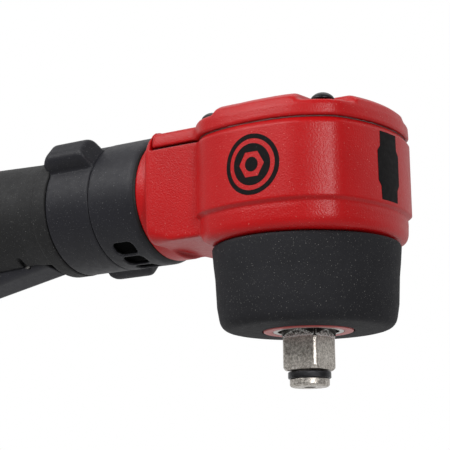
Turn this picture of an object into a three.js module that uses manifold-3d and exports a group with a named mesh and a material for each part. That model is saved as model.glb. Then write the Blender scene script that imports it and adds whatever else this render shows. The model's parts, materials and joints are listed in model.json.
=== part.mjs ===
// Angle-head pneumatic impact wrench with a half-inch square drive.
// Millimetres. +Z runs up along the anvil, +X from the handle to the nose, and
// the origin is the centre of the drive's tip.
import * as THREE from 'three';
import { mergeVertices } from 'three/addons/utils/BufferGeometryUtils.js';
import Module from 'manifold-3d';

const wasm = await Module();
wasm.setup();

// ---- driving dimensions ---------------------------------------------------
const DRIVE_SQUARE = 12.7; // half-inch square drive
const AXIS_Z = 67.5; // height of the motor, neck and handle axis
const FIT = 0.12; // radial clearance of concentric round parts
const GAP = 0.3; // clearance of everything else

// anvil and clutch, from the drive's tip upwards
const RETAINER_Z = [2.5, 5.3]; // groove of the friction ring
const ARCH = { z: 9.7, r: 8.3 }; // round upper ends of the drive's flats
const SQUARE_R = 8.35; // over the drive's corners
const SHANK_R = 8.6;
const NOSE_Z = 17.5; // lower face of the clutch housing and the boot
const BUSHING_R = 11.3; // outside of the anvil bushing
const CLUTCH_R = 26.3; // outside of the clutch housing
const CAVITY_Z = 24.2; // floor inside the clutch housing
const CAGE = { bottom: 28.4, floor: 31, ceiling: 47.6, top: 52.2, r: 23.4 };
const PIN_Y = 17.6; // hammer pins from the anvil axis
const PIN_R = 2.7;
const HAMMER_HEIGHT = 7.7;
const HAMMER_HOLE_R = 12.2;
const JAW_R = 11.5;
const SWING_TAPER = 0.085; // slope of the hammer's flats, a little over its swing
const LOWER_HAMMER_Z = CAGE.floor + GAP;
const UPPER_HAMMER_Z = LOWER_HAMMER_Z + HAMMER_HEIGHT + 0.6;
const HEX_R = 6.9; // bevel gear's hexagonal drive into the cage

// head
const SKIRT_Z = 45; // lower edge of the head
const GROOVE_Z = 53.6; // shadow line round the head
const SEAM_Z = 79.5; // joint between head and cover
const GASKET = 0.4;
const COVER_Z = 88.4; // top of the cover
const HEAD_BORE_R = 26.6; // clutch housing's seat in the head
const GEAR_ROOM_R = 22;
const GEAR_ROOM_Z = CAGE.top + 0.4; // floor between the clutch and the gears
const NECK_REAR_X = -48.5;
const COVER_REAR_X = -45.6;
const SCREW = {
  noseX: 20.2, rearX: -21.3, y: 20.9, seat: 85.6, headR: 3.8, headHeight: 2.5, shankR: 2, depth: 74,
};

// bevel gears on the apex (0, 0, AXIS_Z)
const GEAR_TEETH = 20;
const PINION_TEETH = 14;
const CONE = { outer: 19, inner: 12 }; // distances from the apex
const ADDENDUM = 1.1;
const DEDENDUM = 1.75;
const TOOTH = { root: 2.9, tip: 0.95 }; // widths at the outer cone

// motor, along X
const SHELL_R = 17.6; // outside of the motor cylinder and end plates
const MOTOR = { front: -55.8, rear: -83.8, boreR: 12.9, offset: 1.3, rotorR: 11.4 };
const VANE = { count: 5, thickness: 1.9, inner: 6.2, outer: 11.3 };
const ROTOR_END_GAP = 0.2;
const TUBE_R = 19; // outside of the tube that holds the motor
const SPIGOT = { rear: -53.4, r: 21 };
const RING_A = { front: -53.4, rear: -73, r: 21.9 }; // exhaust ring
const RING_B = { front: -73.3, rear: -92, r: 21.8 }; // regulator ring
const EXHAUST_ANGLES = [144, 162, 180, 198, 216]; // from straight up
const EXHAUST_SLOT = { x: -64, length: 8.6, width: 5.8 };
const TAB = { angle: 47, front: -73.7, rear: -91.9, overhang: 1.4, halfWidth: 5, r: 28 };
const SEAL_X = [-76.6, -87.4]; // seals under the regulator ring
const KEY_X = -90.6; // pin between the ring and the reverse valve
const SELECTOR_TRAVEL = 90;

// handle
const CORE_R = 16.6;
const GRIP_REAR_X = -218;
const INLET_X = -240;
const INLET_BORE_R = 5.75;
const AIRWAY_R = 5.5;

// throttle
const LEVER = { pivotX: -112, pivotZ: 50.4, nose: -101.3, rear: -204, halfWidth: 8, web: 2.5 };
const LEVER_SLOPE = 0.177; // fall of the lever's underside towards the rear
const LEVER_NOSE_Z = 46.8;
const LEVER_PIN_R = 1.4;
const LUG_HALF = 4; // half width of the lug that the lever straddles
const VALVE_X = -136;
const BUSHING = { outer: 6, inner: 2.6, low: 52.7 }; // valve bushing
const VALVE = { seat: 57.4, springFloor: 60.4, springTop: 71.8, bottom: 43.7 };

const SMOOTH = 24; // sides of a large visible round part
const FINE = 16; // sides of a middling round part
const COARSE = 12; // sides of a small one
const TINY = 8; // sides of a port or a wire

// ---- materials ------------------------------------------------------------
const material = (color, roughness, metalness) =>
  new THREE.MeshStandardMaterial({ color, roughness, metalness });
const PAINT = material(0xb92024, 0.45, 0.1);
const RUBBER = material(0x2f3032, 0.8, 0);
const COMPOSITE = material(0x35363b, 0.6, 0);
const STEEL = material(0x9a948c, 0.3, 0.9);
const DARK_STEEL = material(0x4b4a49, 0.4, 0.8);
const ALUMINIUM = material(0xb4b6b8, 0.4, 0.8);
const BLACK_OXIDE = material(0x202022, 0.45, 0.6);
const BRASS = material(0xb08d4a, 0.35, 0.9);
const SEAL = material(0x161617, 0.6, 0);
const GASKET_PAPER = material(0x6d5f5d, 0.9, 0);

// ---- solids ---------------------------------------------------------------
const toSolid = (geometry) => {
  const bare = geometry.clone();
  for (const name of Object.keys(bare.attributes)) {
    if (name !== 'position') bare.deleteAttribute(name);
  }
  const merged = mergeVertices(bare, 1e-4);
  const index = merged.index.array;
  const triangles = [];
  for (let i = 0; i < index.length; i += 3) {
    const [a, b, c] = index.subarray(i, i + 3);
    if (a !== b && b !== c && c !== a) triangles.push(a, b, c);
  }
  return new wasm.Manifold(new wasm.Mesh({
    numProp: 3,
    vertProperties: new Float32Array(merged.attributes.position.array),
    triVerts: new Uint32Array(triangles),
  }));
};

const toGeometry = (solid) => {
  const mesh = solid.getMesh();
  const geometry = new THREE.BufferGeometry();
  geometry.setAttribute('position', new THREE.BufferAttribute(mesh.vertProperties, 3));
  geometry.setIndex(new THREE.BufferAttribute(mesh.triVerts, 1));
  geometry.computeVertexNormals();
  return geometry;
};

const join = (first, ...others) => others.reduce((sum, solid) => sum.add(solid), first);
const cut = (first, ...others) => others.reduce((rest, solid) => rest.subtract(solid), first);

// A closed profile of [radius, height] points turned about +Z.
const turned = (profile, sides = FINE) => {
  const area = profile.reduce((sum, [r, h], i) => {
    const [r2, h2] = profile[(i + 1) % profile.length];
    return sum + r * h2 - r2 * h;
  }, 0);
  const points = (area > 0 ? profile : [...profile].reverse()).map(([r, h]) => new THREE.Vector2(r, h));
  const onAxis = points.filter((p) => p.x === 0).length === 2;
  if (onAxis) {
    while (points[0].x !== 0 || points[points.length - 1].x !== 0) points.push(points.shift());
  } else {
    points.push(points[0].clone());
  }
  return toSolid(new THREE.LatheGeometry(points, sides).rotateX(Math.PI / 2));
};

// The same about the motor axis: the profile's heights are then x positions.
const turnedX = (profile, sides = FINE) => onMotorAxis(turned(profile, sides));
const onMotorAxis = (solid) => solid.rotate([0, 90, 0]).translate([0, 0, AXIS_Z]);

const tube = (inner, outer, low, high) => [[inner, low], [outer, low], [outer, high], [inner, high]];
const rod = (radius, low, high) => [[0, low], [radius, low], [radius, high], [0, high]];

const box = (x0, x1, y0, y1, z0, z1) => toSolid(
  new THREE.BoxGeometry(x1 - x0, y1 - y0, z1 - z0)
    .translate((x0 + x1) / 2, (y0 + y1) / 2, (z0 + z1) / 2),
);

// A polygon of 2D points given thickness: along Z, along Y or along X.
const prism = (points, low, high) => toSolid(
  new THREE.ExtrudeGeometry(new THREE.Shape(points.map(([x, y]) => new THREE.Vector2(x, y))), {
    depth: high - low, bevelEnabled: false,
  }).translate(0, 0, low),
);
const prismAlongY = (pointsXZ, low, high) => prism(pointsXZ, -high, -low).rotate([90, 0, 0]);
const prismAlongX = (pointsYZ, low, high) => prism(pointsYZ.map(([y, z]) => [-z, y]), low, high)
  .rotate([0, 90, 0]);

const hexagon = (radius, low, high) => turned(rod(radius, low, high), 6);

// Stacked outlines with the same number of points, closed at both ends.
const loft = (levels) => {
  const count = levels[0].outline.length;
  const positions = levels.flatMap(({ z, outline }) => outline.flatMap((p) => [p.x, p.y, z]));
  const index = [];
  for (let level = 0; level + 1 < levels.length; level += 1) {
    for (let i = 0; i < count; i += 1) {
      const next = (i + 1) % count;
      const [a, b] = [level * count + i, level * count + next];
      index.push(a, b, b + count, a, b + count, a + count);
    }
  }
  const caps = THREE.ShapeUtils.triangulateShape(levels[0].outline, []);
  const lid = (levels.length - 1) * count;
  for (const [a, b, c] of caps) index.push(c, b, a, lid + a, lid + b, lid + c);
  const geometry = new THREE.BufferGeometry();
  geometry.setAttribute('position', new THREE.Float32BufferAttribute(positions, 3));
  geometry.setIndex(index);
  return toSolid(geometry);
};

// ---- the exported group -----------------------------------------------------
const wrench = new THREE.Group();
wrench.name = 'angle_impact_wrench';
const add = (name, solid, finish) => {
  const mesh = new THREE.Mesh(toGeometry(solid), finish);
  mesh.name = name;
  wrench.add(mesh);
};

// ---- head and neck ----------------------------------------------------------
// The head's plan at its widest: bulging sides and nose, softly cut corners.
const headOutline = () => {
  const shape = new THREE.Shape();
  shape.moveTo(-28, -22.4);
  shape.lineTo(-22, -28.8);
  shape.quadraticCurveTo(0, -37.6, 21.7, -28.3);
  shape.lineTo(26.3, -23.8);
  shape.quadraticCurveTo(37.3, 0, 26.3, 23.8);
  shape.lineTo(21.7, 28.3);
  shape.quadraticCurveTo(0, 37.6, -22, 28.8);
  shape.lineTo(-28, 22.4);
  return shape.getPoints(4);
};

const inset = (outline, distance) => outline.map((point, i) => {
  const before = outline[(i + outline.length - 1) % outline.length];
  const after = outline[(i + 1) % outline.length];
  const edgeNormal = (a, b) => new THREE.Vector2(b.y - a.y, a.x - b.x).normalize();
  const [n1, n2] = [edgeNormal(before, point), edgeNormal(point, after)];
  const normal = n1.clone().add(n2).normalize();
  return point.clone().addScaledVector(normal, -distance / normal.dot(n1));
});

const headLoft = (steps) => {
  const outline = headOutline();
  return loft(steps.map(([z, distance]) => ({ z, outline: inset(outline, distance) })));
};

// The neck's section in Y and Z: flat sides and underside, chamfered edges.
const NECK_SECTION = [
  [-18.6, 48.4], [18.6, 48.4], [22.3, 52], [22.5, 80], [21.1, 84.8], [16.4, 87.3], [-16.4, 87.3],
  [-21.1, 84.8], [-22.5, 80], [-22.3, 52],
];
const neck = (front, rear) => prismAlongX(NECK_SECTION, rear, front);

const gearRoom = (low, high) => turned(rod(GEAR_ROOM_R, low, high), SMOOTH);
const bearingBore = turnedX(rod(14.1, -45.4, -12), FINE);

const screwPlaces = [
  [SCREW.noseX, -SCREW.y], [SCREW.noseX, SCREW.y], [SCREW.rearX, SCREW.y], [SCREW.rearX, -SCREW.y],
];
const screwHoles = () => join(...screwPlaces.map(([x, y]) => turned(
  rod(SCREW.shankR + FIT, SCREW.depth - 1, COVER_Z + 1), COARSE,
).translate([x, y, 0])));

const headHousing = () => {
  const body = headLoft([
    [SKIRT_Z, 2.4], [SKIRT_Z + 1.2, 1.3], [GROOVE_Z - 0.6, 1.1], [GROOVE_Z - 0.4, 1.9],
    [GROOVE_Z + 0.2, 1.9], [GROOVE_Z + 0.6, 0], [77.8, 0.9], [SEAM_Z, 2],
  ]);
  const lowerNeck = cut(neck(-20, NECK_REAR_X), box(COVER_REAR_X - GAP, 0, -40, 40, SEAM_Z, 100));
  const spigot = turnedX(rod(SPIGOT.r, SPIGOT.rear, NECK_REAR_X + 1), SMOOTH);
  const motorTube = turnedX(rod(TUBE_R, RING_A.rear - 1.1, SPIGOT.rear + 1), SMOOTH);
  const ports = EXHAUST_ANGLES.map((angle) => turned(
    rod(2.2, SHELL_R - 2, TUBE_R + 2), TINY,
  ).rotate([angle, 0, 0]).translate([EXHAUST_SLOT.x, 0, AXIS_Z]));
  return cut(
    join(body, lowerNeck, spigot, motorTube),
    turned(rod(HEAD_BORE_R, SKIRT_Z - 1, GEAR_ROOM_Z), SMOOTH),
    gearRoom(GEAR_ROOM_Z - 1, SEAM_Z + 1),
    bearingBore,
    turnedX(rod(11.1, -53, -45), FINE),
    turnedX(rod(SHELL_R + FIT, -75, -52.2), SMOOTH),
    screwHoles(),
    ...ports,
  );
};

const headCover = () => {
  const low = SEAM_Z + GASKET;
  const body = headLoft([
    [low, 1.7], [low + 0.6, 1], [84.6, 1.9], [87, 3.4], [COVER_Z, 7.4],
  ]);
  const upperNeck = cut(neck(-20, COVER_REAR_X), box(-60, 0, -40, 40, 0, low));
  const pockets = screwPlaces.map(([x, y]) => {
    const corner = turned(rod(4.9, SCREW.seat, COVER_Z + 1), COARSE).translate([x, y, 0]);
    const mouth = box(0, 16, -4.9, 4.9, SCREW.seat, COVER_Z + 1)
      .rotate([0, 0, THREE.MathUtils.radToDeg(Math.atan2(y, x))]).translate([x, y, 0]);
    return corner.add(mouth);
  });
  return cut(
    join(body, upperNeck),
    turned(rod(18.5, low - 1, 81.4), FINE),
    turned(rod(9.5 + FIT, low - 1, 84), FINE),
    bearingBore,
    screwHoles(),
    ...pockets,
  );
};

const coverGasket = () => {
  const sheet = headLoft([[SEAM_Z, 2.6], [SEAM_Z + GASKET, 2.6]]);
  const neckSheet = box(COVER_REAR_X + GAP, -20, -20.8, 20.8, SEAM_Z, SEAM_Z + GASKET);
  return cut(sheet.add(neckSheet), gearRoom(79, 81), bearingBore, screwHoles());
};

const coverScrew = ([x, y]) => {
  const { seat, headR, headHeight, shankR, depth } = SCREW;
  const body = turned([
    [0, depth], [shankR, depth], [shankR, seat], [headR, seat], [headR, seat + 0.7],
    [headR * 0.86, seat + 1.5], [headR * 0.5, seat + headHeight], [0, seat + headHeight],
  ], COARSE);
  return cut(body, hexagon(1.45, seat + 0.9, seat + 3)).translate([x, y, 0]);
};

add('head_housing', headHousing(), PAINT);
add('head_cover', headCover(), PAINT);
add('cover_gasket', coverGasket(), GASKET_PAPER);
screwPlaces.forEach((place, i) => add(`cover_screw_${i + 1}`, coverScrew(place), BLACK_OXIDE));

// ---- nose: clutch housing, boot and anvil bushing ----------------------------
add('clutch_housing', turned([
  [BUSHING_R + FIT, NOSE_Z], [14.3, NOSE_Z], [14.3, 19.2], [24.3, 19.2], [CLUTCH_R, 22.6], [CLUTCH_R, 50.5],
  [24.3, 50.5], [24.3, CAVITY_Z], [BUSHING_R + FIT, CAVITY_Z],
], SMOOTH), PAINT);

add('nose_boot', turned([
  [14.7, NOSE_Z + 0.2], [24.4, NOSE_Z + 0.3], [26.5, 18.9], [28, 20.6], [28.8, 23], [29.1, 28], [29.3, 34.5],
  [29.8, 39.5], [30.25, 44.1], [29.8, SKIRT_Z - GAP], [HEAD_BORE_R, SKIRT_Z - GAP], [HEAD_BORE_R, 22.5],
  [24.4, 18.9], [14.7, 18.9],
], SMOOTH), RUBBER);

add('anvil_bushing', turned(tube(8.95, BUSHING_R, NOSE_Z, CAVITY_Z), SMOOTH), STEEL);

// ---- anvil and its retainers --------------------------------------------------
const anvil = () => {
  const across = DRIVE_SQUARE / 2;
  const body = turned([
    [0, 0], [5.6, 0], [6.3, 0.7], [6.3, RETAINER_Z[0]],
    [4.9, RETAINER_Z[0]], [4.9, RETAINER_Z[1]],
    [7.5, RETAINER_Z[1]], [SQUARE_R, 6.1], [SQUARE_R, 15.4], [SHANK_R, 16.6], [SHANK_R, 24.6], [13, 24.6],
    [13, 27.6],
    [8, 27.6], [8, CAGE.ceiling - 0.4], [6, CAGE.ceiling - 0.4], [6, 49.3], [0, 49.3],
  ], SMOOTH);
  const arch = turned(rod(ARCH.r, across, 12), SMOOTH).rotate([0, 90, 0]).translate([0, 0, ARCH.z]);
  const flat = box(across, 12, -10, 10, 0, ARCH.z).add(arch)
    .intersect(box(across - 1, 12, -10, 10, RETAINER_Z[1] - 0.1, 20));
  const flats = [0, 90, 180, 270].map((angle) => flat.rotate([0, 0, angle]));
  const jaw = (side, low) => turned(rod(JAW_R, low, low + HAMMER_HEIGHT - 0.3), SMOOTH)
    .intersect(box(-4.5, 4.5, side > 0 ? 5 : -13, side > 0 ? 13 : -5, low - 1, low + 10));
  return cut(body, ...flats).add(jaw(1, LOWER_HAMMER_Z + 0.15)).add(jaw(-1, UPPER_HAMMER_Z + 0.15));
};

add('anvil', anvil(), STEEL);
add('anvil_o_ring', toSolid(new THREE.TorusGeometry(5.3, 0.38, 5, FINE).translate(0, 0, 3.8)), SEAL);
const frictionRing = cut(turned(tube(5.85, 6.7, 2.7, 5), SMOOTH), box(3, 9, -0.5, 0.5, 2, 6)
  .rotate([0, 0, 140]));
add('friction_ring', frictionRing, BLACK_OXIDE);

// ---- twin-hammer clutch --------------------------------------------------------
const hammerCage = () => {
  const { bottom, floor, ceiling, top, r } = CAGE;
  const pinHoles = [1, -1].map((side) => turned(rod(PIN_R + FIT, bottom - 1, top - 1.6), COARSE)
    .translate([0, side * PIN_Y, 0]));
  return cut(
    turned(rod(r, bottom, top), SMOOTH),
    box(-30, 30, -PIN_Y - FIT, PIN_Y + FIT, floor, ceiling),
    turned(rod(12, bottom - 1, floor + 1), SMOOTH),
    turned(rod(6.3, ceiling - 1, 49.6), FINE),
    hexagon(HEX_R + GAP, 49.5, top + 1),
    ...pinHoles,
  );
};

// A ring that swings about one pin and clears the other. Side +1 swings on the +Y pin.
const hammer = (side, low) => {
  const high = low + HAMMER_HEIGHT;
  const reach = 21.2;
  const flat = PIN_Y - GAP;
  const edge = flat - SWING_TAPER * reach;
  const blank = turned(rod(reach, low, high), SMOOTH).intersect(prism([
    [-reach, -edge], [0, -flat], [reach, -edge], [reach, edge], [0, flat], [-reach, edge],
  ], low, high));
  const pivot = turned(rod(PIN_R + FIT, low - 1, high + 1), COARSE).translate([0, side * PIN_Y, 0]);
  const relief = box(-5.9, 5.9, -3.2, 3.2, low - 1, high + 1).translate([0, -side * PIN_Y, 0]);
  return cut(blank, turned(rod(HAMMER_HOLE_R, low - 1, high + 1), SMOOTH), pivot, relief);
};

add('hammer_cage', hammerCage(), DARK_STEEL);
add('hammer_lower', hammer(1, LOWER_HAMMER_Z), STEEL);
add('hammer_upper', hammer(-1, UPPER_HAMMER_Z), STEEL);
[1, -1].forEach((side, i) => add(
  `hammer_pin_${i + 1}`,
  turned(rod(PIN_R, CAGE.bottom + 0.2, CAGE.top - 1.8), COARSE).translate([0, side * PIN_Y, 0]),
  STEEL,
));

// ---- bevel gears ----------------------------------------------------------------
// A straight bevel gear below an apex at the origin, its teeth pointing up and out.
const bevelWheel = ({ teeth, mate, phase, hub }) => {
  const pitch = Math.atan2(teeth, mate);
  const along = (distance, height) => [
    distance * Math.sin(pitch) + height * Math.cos(pitch),
    -distance * Math.cos(pitch) + height * Math.sin(pitch),
  ];
  const shrink = CONE.inner / CONE.outer;
  const disc = turned([
    ...hub.below, along(CONE.outer, -DEDENDUM), along(CONE.inner, -DEDENDUM * shrink), ...hub.above,
  ], FINE);
  const tooth = (angle) => {
    const corner = (distance, scale, height, width) => {
      const [r, z] = along(distance, height * scale);
      return [r, width * scale / 2, z];
    };
    const ring = (distance, scale) => [
      corner(distance, scale, -DEDENDUM - 0.3, -TOOTH.root),
      corner(distance, scale, -DEDENDUM - 0.3, TOOTH.root),
      corner(distance, scale, ADDENDUM, TOOTH.tip),
      corner(distance, scale, ADDENDUM, -TOOTH.tip),
    ];
    const positions = [...ring(CONE.outer, 1), ...ring(CONE.inner, shrink)].flat();
    const geometry = new THREE.BufferGeometry();
    geometry.setAttribute('position', new THREE.Float32BufferAttribute(positions, 3));
    geometry.setIndex([
      0, 1, 2, 0, 2, 3, 4, 6, 5, 4, 7, 6, 0, 4, 5, 0, 5, 1,
      1, 5, 6, 1, 6, 2, 2, 6, 7, 2, 7, 3, 3, 7, 4, 3, 4, 0,
    ]);
    return toSolid(geometry).rotate([0, 0, angle]);
  };
  const angles = Array.from({ length: teeth }, (_, i) => (i + phase) * 360 / teeth);
  return join(disc, ...angles.map(tooth));
};

const bevelGear = () => {
  const local = (z) => z - AXIS_Z;
  const wheel = bevelWheel({
    teeth: GEAR_TEETH,
    mate: PINION_TEETH,
    phase: 0,
    hub: {
      below: [[0, local(CAGE.top + GAP)], [11.5, local(CAGE.top + GAP)]],
      above: [[5, local(60.4)], [5, local(83.6)], [0, local(83.6)]],
    },
  });
  return wheel.add(hexagon(HEX_R, local(49.9), local(53))).translate([0, 0, AXIS_Z]);
};

const PINION_SHAFT_R = 6;
const pinionShaft = () => {
  const wheel = bevelWheel({
    teeth: PINION_TEETH,
    mate: GEAR_TEETH,
    phase: 0.5,
    hub: {
      below: [[0, -44.8], [PINION_SHAFT_R, -44.8], [PINION_SHAFT_R, -21.9], [7.5, -21.4], [7.5, -18.2]],
      above: [[0, -9.6]],
    },
  });
  return onMotorAxis(cut(wheel, turned(rod(3.6, -46, -36), COARSE)));
};

add('bevel_gear', bevelGear(), DARK_STEEL);
add('gear_bearing', turned(tube(5 + FIT, 9.5, 79, 83.9), FINE), STEEL);
add('pinion_shaft', pinionShaft(), DARK_STEEL);
add('pinion_bearing_front', turnedX(tube(PINION_SHAFT_R + FIT, 14, -30, -22.2), FINE), STEEL);
add('pinion_spacer', turnedX(tube(11.5, 14, -36.9, -30.1), FINE), ALUMINIUM);
add('pinion_bearing_rear', turnedX(tube(PINION_SHAFT_R + FIT, 14, -44.9, -37), FINE), STEEL);

// ---- vane motor -------------------------------------------------------------------
const vaneAngles = Array.from({ length: VANE.count }, (_, i) => i * 360 / VANE.count);

const motorCylinder = () => cut(
  turnedX(rod(SHELL_R, MOTOR.rear, MOTOR.front), SMOOTH),
  turnedX(rod(MOTOR.boreR, MOTOR.rear - 1, MOTOR.front + 1), SMOOTH).translate([0, 0, MOTOR.offset]),
  ...EXHAUST_ANGLES.map((angle) => turned(rod(2.2, 9, TUBE_R), TINY).rotate([angle, 0, 0])
    .translate([EXHAUST_SLOT.x, 0, AXIS_Z])),
);

const rotor = () => {
  const front = MOTOR.front - ROTOR_END_GAP;
  const rear = MOTOR.rear + ROTOR_END_GAP;
  const body = turned([
    [0, rear - 4.6], [3, rear - 4.6], [3, rear - 0.6], [5, rear - 0.6], [5, rear], [MOTOR.rotorR, rear],
    [MOTOR.rotorR, front], [5, front], [5, -45.9], [3.3, -45.9], [3.3, -37], [0, -37],
  ], SMOOTH);
  const slots = vaneAngles.map((angle) => box(VANE.inner - 0.4, 12, -1.1, 1.1, rear - 1, front + 1)
    .rotate([0, 0, angle]));
  return onMotorAxis(cut(body, ...slots));
};

const vane = (angle) => onMotorAxis(box(
  VANE.inner, VANE.outer, -VANE.thickness / 2, VANE.thickness / 2, MOTOR.rear + 0.3, MOTOR.front - 0.3,
).rotate([0, 0, angle]));

add('rotor', rotor(), STEEL);
vaneAngles.forEach((angle, i) => add(`rotor_vane_${i + 1}`, vane(angle), COMPOSITE));
add('motor_cylinder', motorCylinder(), STEEL);
add('front_end_plate', turnedX(tube(5 + GAP, SHELL_R, MOTOR.front, -52.4), SMOOTH), STEEL);
add('rotor_bearing_front', turnedX(tube(5 + FIT, 11, -52.2, -45.9), FINE), STEEL);
add('rear_end_plate', turnedX([
  [5 + GAP, MOTOR.rear], [SHELL_R, MOTOR.rear], [SHELL_R, -88.6], [9.6, -88.6], [9.6, -84.8],
  [5 + GAP, -84.8],
], SMOOTH), STEEL);
add('rotor_bearing_rear', turnedX(tube(3 + FIT, 9.5, -88.5, -84.9), FINE), STEEL);

// ---- exhaust ring, regulator ring and reverse valve ----------------------------------
const RING_BORE_R = TUBE_R + GAP;
const HANDLE_TUBE_R = 19.2;
const HANDLE_TUBE_BORE_R = SHELL_R + FIT;

const exhaustRing = () => {
  const body = turnedX([
    [RING_BORE_R, RING_A.rear], [RING_A.r, RING_A.rear], [RING_A.r, -55.3], [20.9, RING_A.front],
    [RING_BORE_R, RING_A.front], [RING_BORE_R, -58], [20.4, -58], [20.4, -71], [RING_BORE_R, -71],
  ], SMOOTH);
  const { x, length, width } = EXHAUST_SLOT;
  const slot = (angle) => {
    const straight = box(-length / 2 + width / 2, length / 2 - width / 2, -width / 2, width / 2, 15, 25);
    const ends = [-1, 1].map((side) => turned(rod(width / 2, 15, 25), TINY)
      .translate([side * (length - width) / 2, 0, 0]));
    return join(straight, ...ends).rotate([angle, 0, 0]).translate([x, 0, AXIS_Z]);
  };
  return cut(body, ...EXHAUST_ANGLES.map(slot));
};

// A thumb tab with sloped ends, standing straight up from the ring and hanging over the grip's flange.
const thumbTab = () => {
  const { front, rear, overhang, halfWidth, r } = TAB;
  const end = rear - overhang;
  return prismAlongY([
    [rear, 20.5], [front, 20.5], [front, 22.6], [front - 1.8, r], [end + 1.3, r], [end, r - 2], [end, 22.7],
    [rear, 22.7],
  ], -halfWidth, halfWidth);
};

const regulatorRing = () => {
  const body = turnedX(tube(HANDLE_TUBE_R + GAP, RING_B.r, RING_B.rear, RING_B.front), SMOOTH);
  const tabs = [TAB.angle, TAB.angle + 180].map((angle) => thumbTab().rotate([angle, 0, 0])
    .translate([0, 0, AXIS_Z]));
  const keyHole = turned(rod(1.35, 12, 21.5), TINY).rotate([TAB.angle, 0, 0]).translate([KEY_X, 0, AXIS_Z]);
  return cut(join(body, ...tabs), keyHole);
};

const reverseValve = () => {
  const disc = turnedX(tube(10.2, SHELL_R - 0.2, -95.6, -89), SMOOTH);
  const ports = [-30, 30, 150, 210].map((angle) => turnedX(rod(1.8, -97, -88), TINY)
    .translate([0, 0, 14]).translate([0, 0, -AXIS_Z]).rotate([angle, 0, 0]).translate([0, 0, AXIS_Z]));
  const keyHole = turned(rod(1.35, 13.4, 22), TINY).rotate([TAB.angle, 0, 0]).translate([KEY_X, 0, AXIS_Z]);
  return cut(disc, ...ports, keyHole);
};

add('exhaust_ring', exhaustRing(), COMPOSITE);
add('exhaust_muffler', turnedX(tube(RING_BORE_R, 20.1, -70.7, -58.3), SMOOTH), SEAL);
add('regulator_ring', regulatorRing(), COMPOSITE);
add('selector_key', turned(rod(1.2, 13.8, 21.3), TINY).rotate([TAB.angle, 0, 0])
  .translate([KEY_X, 0, AXIS_Z]), STEEL);
add('reverse_valve', reverseValve(), BRASS);
SEAL_X.forEach((x, i) => {
  add(`ring_seal_${i + 1}`, turnedX(tube(18.35, 19.3, x - 0.5, x + 0.5), SMOOTH), SEAL);
});

// ---- handle -----------------------------------------------------------------------
// The room that the throttle lever swings in, seen from the side.
const LEVER_ROOM = [
  [-99.4, 40], [-99.4, 49], [-104, 52.8], [-107, 54.2], [-117, 54.2], [-124, 53.2], [-176, 47.4], [-176, 40],
];
const leverRoom = prismAlongY(LEVER_ROOM, -LEVER.halfWidth - GAP, LEVER.halfWidth + GAP);
const DETENT_R = 20.85; // the detent's distance below the motor axis

const sleeveOutline = [
  [-92.4, 22.1], [-97.4, 22.1], [-100, 20.7], [-107, 20], [-126, 20.8], [-150, 21.6], [-195, 21.2],
  [-212, 22.2], [GRIP_REAR_X, 21.6],
].map(([x, r]) => [r, x]);

const gripSleeve = () => cut(
  turnedX([
    [HANDLE_TUBE_R + GAP, -92.4], ...sleeveOutline, [CORE_R + 0.2, GRIP_REAR_X], [CORE_R + 0.2, -98.6],
    [HANDLE_TUBE_R + GAP, -98.6],
  ], SMOOTH),
  leverRoom,
  box(-113.7, -111.4, -12, 12, 49.6, 52.3), // the pin's access holes
  turned(rod(1.15, -97, -92), TINY).rotate([0, 90, 0]).translate([0, 0, AXIS_Z - DETENT_R]),
);

const handleHousing = () => {
  const body = turnedX([
    [0, -218.2], [CORE_R, -218.2], [CORE_R, -98.3], [HANDLE_TUBE_R, -98.3],
    [HANDLE_TUBE_R, RING_B.front - 1.1],
    [HANDLE_TUBE_BORE_R, RING_B.front - 1.1], [HANDLE_TUBE_BORE_R, -96], [0, -96],
  ], SMOOTH);
  const sealGrooves = SEAL_X.map((x) => turnedX(tube(18.3, 20, x - 0.7, x + 0.7), SMOOTH));
  const keySlotSteps = 6;
  const keySlots = Array.from({ length: keySlotSteps }, (_, i) => {
    const angle = TAB.angle - SELECTOR_TRAVEL * i / (keySlotSteps - 1);
    return box(-1.5, 1.5, -3.4, 3.4, 16, 21).rotate([angle, 0, 0]).translate([KEY_X, 0, AXIS_Z]);
  });
  const lug = prismAlongY([
    [-108.4, 56], [-108.4, 50.4], [-109.6, 48.6], [-112, 47.8], [-114.4, 48.6], [-115.6, 50.4], [-115.6, 56],
  ], -LUG_HALF, LUG_HALF);
  return cut(
    join(cut(body, leverRoom), lug),
    turnedX(rod(9.3, -219, -198.6), FINE),
    turnedX(rod(AIRWAY_R, -200, VALVE_X), COARSE),
    turned(rod(BUSHING.outer + FIT, 40, 72), COARSE).translate([VALVE_X, 0, 0]),
    turned(rod(2.6, 0, 42), TINY).rotate([0, 90, 0]).translate([VALVE_X + 1, 0, 55]),
    leverPinHole(),
    ...sealGrooves,
    ...keySlots,
  );
};
const leverPinHole = () => turned(rod(LEVER_PIN_R + FIT, -20, 20), COARSE).rotate([90, 0, 0])
  .translate([LEVER.pivotX, 0, LEVER.pivotZ]);

add('handle_housing', handleHousing(), ALUMINIUM);
add('grip_sleeve', gripSleeve(), RUBBER);
add('end_cap', turnedX([
  [9.6, -218.3], [20.6, -218.3], [20.6, -221.4], [19.4, -222.8], [9.6, -222.8],
], SMOOTH), COMPOSITE);
add('detent_spring', turned(tube(0.5, 0.95, -96.7, -94.4), TINY).rotate([0, 90, 0])
  .translate([0, 0, AXIS_Z - DETENT_R]), STEEL);
add('detent_ball', toSolid(new THREE.SphereGeometry(0.95, 8, 6)
  .translate(-93.4, 0, AXIS_Z - DETENT_R)), STEEL);

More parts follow.
